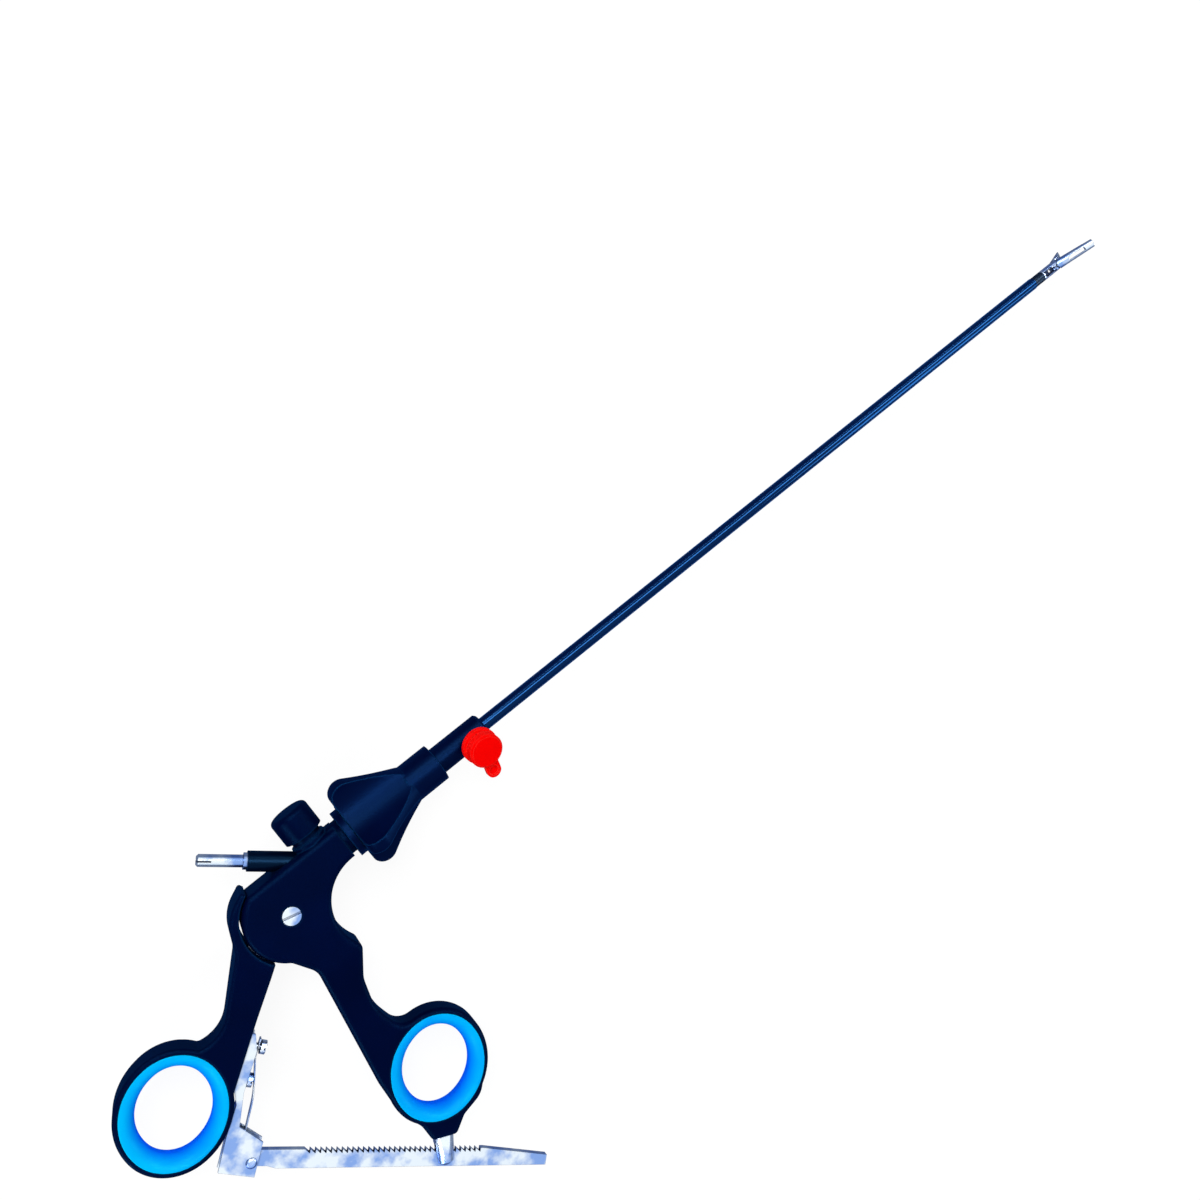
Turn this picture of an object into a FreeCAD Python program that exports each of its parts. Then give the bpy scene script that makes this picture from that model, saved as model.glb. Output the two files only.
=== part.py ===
import FreeCAD, Part
import math
import os

# Laparoscopic grasper with a ratchet ring handle, 5 mm shaft, flush port and high-frequency pin.
# Millimetres. +X runs along the shaft to the jaws, +Y is up in use, the handle lies in the XY plane.
# The origin is on the shaft's axis, where the insulated shaft leaves the neck of the flush port.

# Fits
gap_run = 0.04        # radial clearance of a pin or shaft that turns in its bore
gap_fit = 0.02        # radial clearance of a piece that is glued or pressed in
gap_move = 0.3        # clearance between plain faces that slide past each other

# Shaft and jaws
tube_r = 2.0
tube_wall = 0.5
insulation_wall = 0.5
insulation_length = 304.5
band_wall = 0.3
band_length = 6.0
clevis_spigot_length = 4.5
clevis_slot_half = 1.35
ear_r = 2.15
jaw_pivot_from_band = 8.9
jaw_pin_r = 0.6
jaw_length = 18.2
jaw_taper = 0.45
jaw_wall = 0.6
jaw_open = 30.0
jaw_face = 0.1
window_start = 6.4
window_length = 7.8
window_half = 0.72
ridge_count = 5
ridge_pitch = 0.78
ridge_depth = 0.42
tail_length = 3.6
tail_angle_closed = 12.0
link_length = 3.4
link_plate = 0.55
link_eye_r = 0.95
link_pin_r = 0.4
link_slack = 0.116
seal_wall = 0.5
rod_end_gap = 0.2
ball_r = 2.0
seal_length = 1.6
tang_length = 6.0
tang_bar_length = 12.0

# Neck, flush port and knob
neck_r = 4.8
neck_length = 20.0
neck_tail = 4.0
neck_round = 0.7
port_x = -6.0
port_roll = 20.0
port_boss_r = 3.4
port_boss_top = 6.6
port_nipple_r = 2.1
port_nipple_top = 12.2
port_bore_r = 1.1
port_seat = 1.0
port_taper = 0.25
cap_disc_r = 6.3
cap_top_r = 6.0
cap_groove_r = 5.0
cap_bottom = 6.9
cap_groove_bottom = 9.9
cap_groove_top = 10.9
cap_top = 14.2
cap_edge = 0.7
cap_tab_reach = 8.6
cap_tab_r = 2.6
cap_tab_thickness = 1.6
cap_tab_rim = 0.8
cap_tab_angle = 262.0
collar_r = 6.9
collar_length = 11.3
knob_length = 35.0
knob_fin_r = 21.5
knob_corner = 4.6
knob_fins = 4
flute_r = 13.0
flute_floor_rear = 8.4
flute_floor_front = 6.5
hub_r = 4.5
spigot_r = 3.5
spigot_groove_r = 2.7
groove_play = 0.4
contact_length = 2.2
hub_tail = 13.5
flange_r = 8.7
flange_thickness = 2.5
bearing_r = 4.5
bearing_length = 8.8

# Handle
pivot_behind_neck = 28.1
pivot_drop = 8.0
squeeze = 22.0
head_r = 15.3
head_half = 6.8
limb_half = 4.8
head_rise = 13.6
head_last = 234.5
handle_neck_r = 6.3
handle_neck_length = 10.5
rest_setback = 1.8
edge_round = 1.8
corner_round = 2.0
root_round = 6.0
lever_round = 0.9
slot_half = 2.8
slot_r = 11.6
slot_from = 168.0
slot_to = 243.0
finger_rest_r = 16.3
ring_a = 19.5
ring_b = 17.6
ring_end_r = 16.1
ring_tilt = 49.0
front_ring_place = (5.4, -73.5)
rear_ring_place = (-61.7, -25.8)
insert_seat = 2.9
insert_lip = 0.7
insert_lip_wall = 1.7
insert_rim = 0.5
insert_throat = 6.3
insert_proud = 0.15
crescent_gap = 0.6
crescent_tip = 114.5
crescent_tip_wall = 1.8
screw_head_r = 3.0
screw_head_height = 1.3
screw_slot = 0.8
head_recess = 0.9
axle_r = 2.0
screw_r = 1.5
bush_r = 3.2
tongue_half = 2.5
tongue_r = 7.4
fork_half = 4.4
fork_top = 10.4
fork_slot_half = 2.8
fork_slot_floor = 5.4

# Ratchet
rack_rivet_place = (-55.4, -55.8)
rack_angle = -46.3
rack_half = 1.1
rack_top = 3.7
rack_bottom = -2.2
rack_heel = 6.0
rack_length = 100.5
rack_tip_top = 1.2
catch_tooth = 27
catch_seat = 0.42
tooth_pitch = 1.75
tooth_count = 34
tooth_depth = 1.3
rack_pin_r = 1.2
catch_angle = 240.0
catch_boss_end = 24.2
catch_boss_half = 4.2
catch_r = 3.6
catch_tip_r = 2.9
catch_shank_step = 0.9
fork_play = 0.25
catch_length = 10.4
catch_bite = 0.3
lever_edge_place = (-13.6, -9.9)
lever_edge_angle = 216.3
sheet = 0.8
bracket_start = 22.0
bracket_end = 65.0
web_end = 39.6
spring_sheet = 0.4
spring_half = 1.2
spring_foot = 3.35
spring_bow = 6.6
roof_start = (50.5, 5.2)
roof_end_x = 54.1
roof_above_rivet = 1.6
screw_at = (26.1, 36.7)
screw_tops = (5.9, 5.0)
small_screw_r = 1.0
small_screw_depth = 3.8
small_head_r = 2.2
small_head_height = 1.6
small_kerf = 0.6

# Button and connector
button_behind_neck = 10.0
button_r = 6.6
button_bottom = 9.3
button_top = 18.4
button_travel = 1.8
button_wall = 1.1
button_dome = 1.6
guide_r = 5.0
guide_shoulder = 0.9
guide_bore_r = 4.2
guide_top = 11.4
guide_floor = 6.4
stem_half = 1.8
latch_thickness = 1.2
latch_half = 4.4
latch_bottom = -4.4
coil_r = 3.2
coil_wire = 0.35
coil_half_turns = 5
hf_angle = 138.0
hf_collar_place = (-0.4, 21.5)
hf_pin_r = 2.0
hf_pin_length = 15.4
hf_pin_tip = 0.6
hf_collar_r = 2.7
hf_collar_length = 1.2
hf_sleeve_r = 3.3
hf_shank_r = 1.3
hf_sleeve_length = 15.5

# Places that follow from the sizes above
V = FreeCAD.Vector
X, Y, Z = V(1, 0, 0), V(0, 1, 0), V(0, 0, 1)
tube_bore_r = tube_r - tube_wall
pull_rod_r = tube_bore_r - seal_wall
rod_end_r = tube_bore_r - rod_end_gap
insulation_r = tube_r + insulation_wall
band_r = tube_r + band_wall
clevis_r = band_r
jaw_base_r = clevis_r
jaw_tip_r = jaw_base_r - jaw_taper
band_end = insulation_length + band_length
jaw_x = band_end + jaw_pivot_from_band
tail_angle_open = tail_angle_closed + jaw_open
knob_front = -neck_length
knob_rear = knob_front - knob_length
neck_end = knob_rear - flange_thickness
hub_rear = neck_end - hub_tail
button_x = neck_end - button_behind_neck
pivot = V(neck_end - pivot_behind_neck, -pivot_drop, 0)
front_ring = pivot + V(*front_ring_place, 0)
rear_ring = pivot + V(*rear_ring_place, 0)
rack_rivet = pivot + V(*rack_rivet_place, 0)
lever_edge = pivot + V(*lever_edge_place, 0)
hf_collar = pivot + V(*hf_collar_place, 0)
hf_axis = V(math.cos(math.radians(hf_angle)), math.sin(math.radians(hf_angle)), 0)
catch_axis = V(math.cos(math.radians(catch_angle)), math.sin(math.radians(catch_angle)), 0)


def toggle_reach(angle):
    """Distance from the jaw pivot to the rod's pin when the tails stand at this angle."""
    rise = tail_length * math.sin(math.radians(angle))
    run = tail_length * math.cos(math.radians(angle))
    return run + math.sqrt(link_length ** 2 - rise ** 2)


rod_travel = toggle_reach(tail_angle_closed) - toggle_reach(tail_angle_open)
rod_pin_x = jaw_x - toggle_reach(tail_angle_open) - link_slack
ball_x = pivot.x + rod_travel / 2


# Small tools for turned, cut and folded pieces
def polar(centre, radius, angle):
    a = math.radians(angle)
    return V(centre.x + radius * math.cos(a), centre.y + radius * math.sin(a), 0)


def rod(radius, x0, x1):
    """A round bar on the shaft's axis."""
    return Part.makeCylinder(radius, x1 - x0, V(x0, 0, 0), X)


def pipe(outer, inner, x0, x1):
    return rod(outer, x0, x1).cut(rod(inner, x0, x1))


def outline(*corners, origin=V(0, 0, 0)):
    """A closed face in XY from corners (x, y), or (x, y, radius) for a rounded one, about an origin."""
    count = len(corners)
    points = [origin + V(corner[0], corner[1], 0) for corner in corners]
    edges, ends = [], []
    for n, corner in enumerate(corners):
        here = points[n]
        before = (points[n - 1] - here).normalize()
        after = (points[(n + 1) % count] - here).normalize()
        if len(corner) == 2:
            ends.append((here, here))
            continue
        half = before.getAngle(after) / 2
        reach = corner[2] / math.tan(half)
        middle = here + (before + after).normalize() * (corner[2] / math.sin(half) - corner[2])
        start, end = here + before * reach, here + after * reach
        ends.append((start, end))
        edges.append(Part.Arc(start, middle, end).toShape())
    for n in range(count):
        edges.append(Part.LineSegment(ends[n - 1][1], ends[n][0]).toShape())
    return Part.Face(Part.Wire(Part.__sortEdges__(edges)))


def plate(face, z0, z1):
    lifted = face.copy()
    lifted.translate(V(0, 0, z0))
    return lifted.extrude(V(0, 0, z1 - z0))


def ring_arcs():
    """The four arcs of a finger ring about its middle: centre, outer radius, first angle and span."""
    end_shift = ring_a - ring_end_r
    side_r = (end_shift ** 2 + ring_b ** 2 - ring_end_r ** 2) / (2 * (ring_b - ring_end_r))
    side_shift = side_r - ring_b
    half = math.degrees(math.atan2(side_shift, end_shift))
    return [(V(end_shift, 0, 0), ring_end_r, -half, 2 * half),
            (V(0, -side_shift, 0), side_r, half, 180 - 2 * half),
            (V(-end_shift, 0, 0), ring_end_r, 180 - half, 2 * half),
            (V(0, side_shift, 0), side_r, 180 + half, 180 - 2 * half)]


def oval_plate(centre, inset, z0, z1):
    """A plate in the shape of the finger ring's outer edge, drawn in by the inset."""
    edges = []
    for middle, radius, first, span in ring_arcs():
        places = [polar(middle, radius - inset, first + span * share) for share in (0, 0.5, 1)]
        edges.append(Part.Arc(*places).toShape())
    return placed(plate(Part.Face(Part.Wire(edges)), z0, z1), centre, ring_tilt)


def turn_about_pin(shape, x, degrees):
    """Turns a jaw piece about an axis parallel to Y through (x, 0, 0), up for plus."""
    moved = shape.copy()
    moved.rotate(V(x, 0, 0), Y, -degrees)
    return moved


def placed(shape, origin, angle):
    """Moves a piece drawn in its own XY frame to its origin and angle on the handle."""
    moved = shape.copy()
    moved.Placement = FreeCAD.Placement(origin, FreeCAD.Rotation(Z, angle))
    return moved


def radial(shape):
    """Moves a piece drawn along +Z at the origin to the flush port's axis."""
    moved = shape.copy()
    moved.translate(V(port_x, 0, 0))
    moved.rotate(V(0, 0, 0), X, port_roll)
    return moved


def walls_of(shape, edge):
    return [f for f in shape.Faces if any(e.isSame(edge) for e in f.Edges)]


def upright(face):
    u0, u1, v0, v1 = face.ParameterRange
    return abs(face.normalAt((u0 + u1) / 2, (v0 + v1) / 2).z) < 1e-3


def corner_edges(shape):
    """The upright edges where two side walls meet at a clear angle."""
    found = []
    for edge in shape.Edges:
        if edge.BoundBox.ZLength > 2 * limb_half:
            middle = edge.valueAt((edge.FirstParameter + edge.LastParameter) / 2)
            normals = [f.normalAt(*f.Surface.parameter(middle)) for f in walls_of(shape, edge)]
            if len(normals) == 2 and normals[0].getAngle(normals[1]) > 0.15:
                found.append(edge)
    return found


def rim_edges(shape):
    """The edges between an upright side wall and the front or back face of a handle."""
    found = []
    for edge in shape.Edges:
        box = edge.BoundBox
        if abs(box.ZMin + box.ZMax) > 2 * limb_half - 1e-3 and box.ZLength < 2 * limb_half:
            walls = [upright(f) for f in walls_of(shape, edge)]
            if any(walls) and not all(walls):
                found.append(edge)
    return found


nodes = {}


# Shaft: a steel tube with an insulating sleeve and a shrunk band at its end
def make_shaft():
    nodes["outer_tube"] = pipe(tube_r, tube_bore_r, knob_rear, band_end - clevis_spigot_length)
    flush_hole = radial(Part.makeCylinder(port_bore_r, tube_r + 1, V(0, 0, 0), Z))
    nodes["outer_tube"] = nodes["outer_tube"].cut(flush_hole)
    nodes["insulation_sleeve"] = pipe(insulation_r, tube_r, 0, insulation_length)
    nodes["end_band"] = pipe(band_r, tube_r, insulation_length, band_end)


# Clevis: a turned end piece, slotted for the linkage, with two rounded ears for the jaw pin
def make_clevis():
    slot_start = rod_pin_x - rod_travel - link_eye_r - gap_move
    body = rod(clevis_r, band_end, jaw_x + ear_r)
    side = Part.makeBox(jaw_x - band_end, 2 * clevis_r, 2 * clevis_r, V(band_end, -clevis_r, -clevis_r))
    tip = Part.makeCylinder(ear_r, 2 * clevis_r, V(jaw_x, -clevis_r, 0), Y)
    body = body.common(side.fuse(tip))
    body = body.fuse(rod(tube_r, band_end - clevis_spigot_length, band_end))
    body = body.cut(rod(rod_end_r + gap_move / 2, band_end - clevis_spigot_length, slot_start + 1))
    slot = Part.makeBox(60, 2 * clevis_slot_half, 4 * clevis_r,
                        V(slot_start, -clevis_slot_half, -2 * clevis_r))
    pin_hole = Part.makeCylinder(jaw_pin_r + gap_fit, 4 * clevis_r, V(jaw_x, -2 * clevis_r, 0), Y)
    nodes["clevis"] = body.cut(slot).cut(pin_hole)
    reach = math.sqrt(clevis_r ** 2 - jaw_pin_r ** 2)
    nodes["jaw_pin"] = Part.makeCylinder(jaw_pin_r, 2 * reach, V(jaw_x, -reach, 0), Y)


# Jaw: a half-round spoon with a window, cross ridges at the tip, a knuckle and a tail behind the pin
def make_jaw():
    def slab(y0, y1, x0, x1, z0, z1):
        return Part.makeBox(x1 - x0, y1 - y0, z1 - z0, V(x0, y0, z0))

    inner = ear_r + gap_move
    cone = Part.makeCone(jaw_base_r, jaw_tip_r, jaw_length, V(0, 0, 0), X)
    spoon = cone.common(slab(-3, 3, 0, jaw_length, jaw_face, 3))
    spoon = spoon.cut(Part.makeCylinder(inner, 8, V(0, -4, 0), Y))
    bowl_start, bowl_end = inner + jaw_wall, window_start + window_length
    bowl = Part.makeCone(jaw_base_r - jaw_wall, jaw_tip_r - jaw_wall, bowl_end - bowl_start,
                         V(bowl_start, 0, 0), X)
    spoon = spoon.cut(bowl)
    spoon = spoon.cut(slab(-window_half, window_half, window_start, bowl_end, 0, 4))
    for n in range(ridge_count):
        x = jaw_length - (n + 1) * ridge_pitch
        notch = Part.makePolygon([V(x, -3, jaw_face), V(x + ridge_pitch, -3, jaw_face),
                                  V(x, -3, jaw_face + ridge_depth), V(x, -3, jaw_face)])
        spoon = spoon.cut(Part.Face(notch).extrude(V(0, 6, 0)))
    side = clevis_slot_half - gap_fit * 2
    knuckle = Part.makeCylinder(ear_r - gap_fit * 2, side - gap_run, V(0, gap_run, 0), Y)
    web = slab(gap_run, side, 0, inner + jaw_wall, jaw_face, math.sqrt(jaw_base_r ** 2 - side ** 2))
    tail_end = V(-tail_length * math.cos(math.radians(tail_angle_closed)), gap_run,
                 -tail_length * math.sin(math.radians(tail_angle_closed)))
    arm = Part.makeBox(tail_length, link_plate, 2 * link_eye_r, V(0, gap_run, -link_eye_r))
    arm.rotate(V(0, 0, 0), Y, 180 - tail_angle_closed)
    eye = Part.makeCylinder(link_eye_r, link_plate, tail_end, Y)
    jaw = spoon.fuse([knuckle, web, arm, eye])
    jaw = jaw.cut(Part.makeCylinder(jaw_pin_r + gap_run, 8, V(0, -4, 0), Y))
    jaw = jaw.cut(Part.makeCylinder(link_pin_r + link_slack + gap_run, 8, V(tail_end.x, -4, tail_end.z), Y))
    jaw = jaw.removeSplitter()
    jaw.translate(V(jaw_x, 0, 0))
    return jaw


# Toggle links: each joins a jaw's tail to the pin in the end of the pull rod
def make_link():
    rise = tail_length * math.sin(math.radians(tail_angle_open)) / link_length
    slope = math.degrees(math.asin(rise))
    y0 = gap_run * 2 + link_plate
    bar = Part.makeBox(link_length, link_plate, 2 * link_eye_r, V(0, y0, -link_eye_r))
    near = Part.makeCylinder(link_eye_r, link_plate, V(0, y0, 0), Y)
    far = Part.makeCylinder(link_eye_r, link_plate, V(link_length, y0, 0), Y)
    link = bar.fuse([near, far]).removeSplitter()
    link = link.cut(Part.makeCylinder(link_pin_r + gap_run, 8, V(0, -4, 0), Y))
    link = link.cut(Part.makeCylinder(link_pin_r + gap_fit, 8, V(link_length, -4, 0), Y))
    pin = Part.makeCylinder(link_pin_r, y0 + link_plate - gap_run, V(link_length, gap_run, 0), Y)
    moved = []
    for piece in (link, pin):
        piece.translate(V(rod_pin_x, 0, 0))
        moved.append(turn_about_pin(piece, rod_pin_x, -slope))
    return moved


def make_jaws():
    jaw = turn_about_pin(make_jaw(), jaw_x, jaw_open)
    link, pin = make_link()
    nodes["jaw_upper"], nodes["link_upper"], nodes["elbow_pin_upper"] = jaw, link, pin
    for name in ("jaw", "link", "elbow_pin"):
        half_turn = nodes[name + "_upper"].copy()
        half_turn.rotate(V(0, 0, 0), X, 180)
        nodes[name + "_lower"] = half_turn


# Pull rod: a long bar with a ball at the handle and a flat tang with a cross pin at the jaws
def make_pull_rod():
    tang_x = rod_pin_x - tang_length
    rod_front = tang_x - tang_bar_length
    nodes["pull_rod"] = rod(pull_rod_r, ball_x + ball_r * 0.8, rod_front)
    ball = Part.makeSphere(ball_r, V(ball_x, 0, 0))
    nodes["rod_ball"] = ball.cut(rod(pull_rod_r, ball_x + ball_r * 0.8, rod_front))
    tang = rod(rod_end_r, rod_front, tang_x)
    half = link_plate
    flat = Part.makeBox(rod_pin_x - tang_x, 2 * half, 2 * link_eye_r, V(tang_x, -half, -link_eye_r))
    eye = Part.makeCylinder(link_eye_r, 2 * half, V(rod_pin_x, -half, 0), Y)
    hole = Part.makeCylinder(link_pin_r + gap_fit, 8, V(rod_pin_x, -4, 0), Y)
    nodes["rod_tang"] = tang.fuse([flat, eye]).removeSplitter().cut(hole)
    reach = 2 * link_plate + 3 * gap_run
    nodes["rod_pin"] = Part.makeCylinder(link_pin_r, 2 * reach, V(rod_pin_x, -reach, 0), Y)
    seal_end = port_x - port_boss_r
    nodes["rod_seal"] = pipe(tube_bore_r, pull_rod_r + gap_fit, seal_end - seal_length, seal_end)


# Flush port: a neck moulded over the tube, a steel luer nipple and a soft cap with a pull tab
def make_port():
    sleeve = rod(neck_r, -neck_length, 0)
    front_edge = [e for e in sleeve.Edges if e.BoundBox.XMin > -1e-6]
    sleeve = sleeve.makeChamfer(neck_round, front_edge)
    sleeve = sleeve.fuse(rod(hub_r, -neck_length - neck_tail, -neck_length))
    boss = radial(Part.makeCylinder(port_boss_r, port_boss_top, V(0, 0, 0), Z))
    nipple_foot = V(0, 0, neck_r - port_seat)
    nipple_hole = radial(Part.makeCylinder(port_nipple_r, port_boss_top, nipple_foot, Z))
    flush = radial(Part.makeCylinder(port_bore_r, port_boss_top, V(0, 0, 0), Z))
    tube_way = rod(tube_r + gap_fit, -neck_length - neck_tail - 1, 1)
    sleeve = sleeve.fuse(boss).cut([tube_way, nipple_hole, flush])
    nodes["port_neck"] = sleeve.removeSplitter()
    length = port_nipple_top - neck_r + port_seat
    nipple = Part.makeCone(port_nipple_r, port_nipple_r - port_taper, length, nipple_foot, Z)
    nipple = nipple.cut(Part.makeCylinder(port_bore_r, 20, V(0, 0, 0), Z))
    nodes["luer_port"] = radial(nipple)

    skirt = Part.makeCylinder(cap_disc_r, cap_groove_bottom - cap_bottom, V(0, 0, cap_bottom), Z)
    waist_foot = V(0, 0, cap_groove_bottom)
    waist = Part.makeCylinder(cap_groove_r, cap_groove_top - cap_groove_bottom, waist_foot, Z)
    crown = Part.makeCylinder(cap_top_r, cap_top - cap_groove_top, V(0, 0, cap_groove_top), Z)
    skirt = skirt.makeChamfer(cap_edge, [e for e in skirt.Edges if e.BoundBox.ZLength < 1e-6])
    crown = crown.makeChamfer(cap_edge, [e for e in crown.Edges if e.BoundBox.ZMin > cap_top - 1e-6])
    tab_z = cap_groove_top + cap_edge
    end = polar(V(0, 0, 0), cap_tab_reach, cap_tab_angle)
    tab = Part.makeCylinder(cap_tab_r, cap_tab_thickness, V(end.x, end.y, tab_z), Z)
    bar = Part.makeBox(cap_tab_reach, 2 * cap_tab_r, cap_tab_thickness, V(0, -cap_tab_r, tab_z))
    bar.rotate(V(0, 0, 0), Z, cap_tab_angle)
    tab = tab.fuse(bar).removeSplitter()
    dimple_foot = V(end.x, end.y, tab_z + cap_tab_thickness / 2)
    dimple = Part.makeCylinder(cap_tab_r - cap_tab_rim, cap_tab_thickness, dimple_foot, Z)
    cap = skirt.fuse([waist, crown, tab]).cut(dimple.cut(Part.makeCylinder(cap_top_r, 40, V(0, 0, 0), Z)))
    socket = Part.makeCylinder(port_nipple_r + gap_fit, port_nipple_top + gap_move, V(0, 0, 0), Z)
    nodes["luer_cap"] = radial(cap.cut(socket).removeSplitter())


# Rotation knob: a cone with four fins and broad flutes, and a round collar in front
def make_knob():
    shoulder = knob_front - collar_length
    profile = outline((knob_rear, 0), (knob_rear, knob_fin_r, knob_corner), (shoulder, collar_r),
                      (knob_front, collar_r), (knob_front, 0))
    body = profile.revolve(V(0, 0, 0), X, 360)
    rear, front = flute_floor_rear + flute_r, flute_floor_front + flute_r
    span = shoulder - knob_rear
    start = V(knob_rear - 5, rear + 5 * (rear - front) / span, 0)
    flute = Part.makeCylinder(flute_r, span + 9, start, V(span, front - rear, 0))
    for n in range(knob_fins):
        cutter = flute.copy()
        cutter.rotate(V(0, 0, 0), X, (n + 0.5) * 360 / knob_fins)
        body = body.cut(cutter)
    body = body.fuse(rod(collar_r, shoulder - 1, knob_front)).removeSplitter()
    body.rotate(V(0, 0, 0), X, port_roll + 90)
    front_bore = rod(hub_r + gap_fit, knob_rear - 1, knob_front + 1)
    nodes["rotation_knob"] = body.cut(front_bore)
    hub = rod(hub_r, knob_rear, knob_front - neck_tail).fuse(rod(spigot_r, hub_rear, knob_rear))
    groove_x = button_x - latch_thickness / 2 - groove_play / 2
    groove = pipe(spigot_r + 1, spigot_groove_r, groove_x, groove_x + latch_thickness + groove_play)
    bore = rod(tube_r, knob_rear, 0).fuse(rod(pull_rod_r + gap_move, hub_rear - 1, knob_rear))
    nodes["hub_sleeve"] = hub.cut(groove).cut(bore)


# Finger ring and soft insert, alike on both handles
def ring_hole(centre):
    hole = oval_plate(centre, insert_seat, -head_half - 1, head_half + 1)
    for z0, z1 in ((limb_half - insert_lip, head_half + 1), (-head_half - 1, insert_lip - limb_half)):
        hole = hole.fuse(oval_plate(centre, insert_lip_wall, z0, z1))
    return hole


def ring_insert(centre):
    """The soft ring: a section with a lip on each face and a rounded throat, swept along the arcs."""
    face, step = limb_half + insert_proud, limb_half - insert_lip
    seat, lip = insert_seat + gap_fit, insert_lip_wall + gap_fit
    rim = lip + insert_rim
    parts = []
    for middle, radius, first, span in ring_arcs():
        def spot(inset, z):
            return V(middle.x + radius - inset, middle.y, z)

        corners = [spot(rim, -face), spot(lip, -face), spot(lip, -step), spot(seat, -step),
                   spot(seat, step), spot(lip, step), spot(lip, face), spot(rim, face)]
        edges = [Part.LineSegment(*pair).toShape() for pair in zip(corners, corners[1:])]
        edges.append(Part.Arc(corners[-1], spot(insert_throat, 0), corners[0]).toShape())
        section = Part.Face(Part.Wire(edges))
        section.rotate(middle, Z, first)
        parts.append(section.revolve(middle, Z, span))
    return placed(parts[0].fuse(parts[1:]).removeSplitter(), centre, ring_tilt)


def side_profile(length, thick_to, thin_from):
    """The side view of a handle limb: as thick as the head, then a smooth step down to the ring."""
    run = (thin_from - thick_to) / 2
    bend = run / 2
    half = [(-60.0, head_half), (thick_to + bend / 2, head_half, 2 * run),
            (thin_from - bend / 2, limb_half, 2 * run), (length, limb_half)]
    mirrored = [(corner[0], -corner[1], *corner[2:]) for corner in reversed(half)]
    wall = plate(outline(*half, *mirrored), -2 * length, 2 * length)
    wall.rotate(V(0, 0, 0), X, 90)
    return wall


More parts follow.
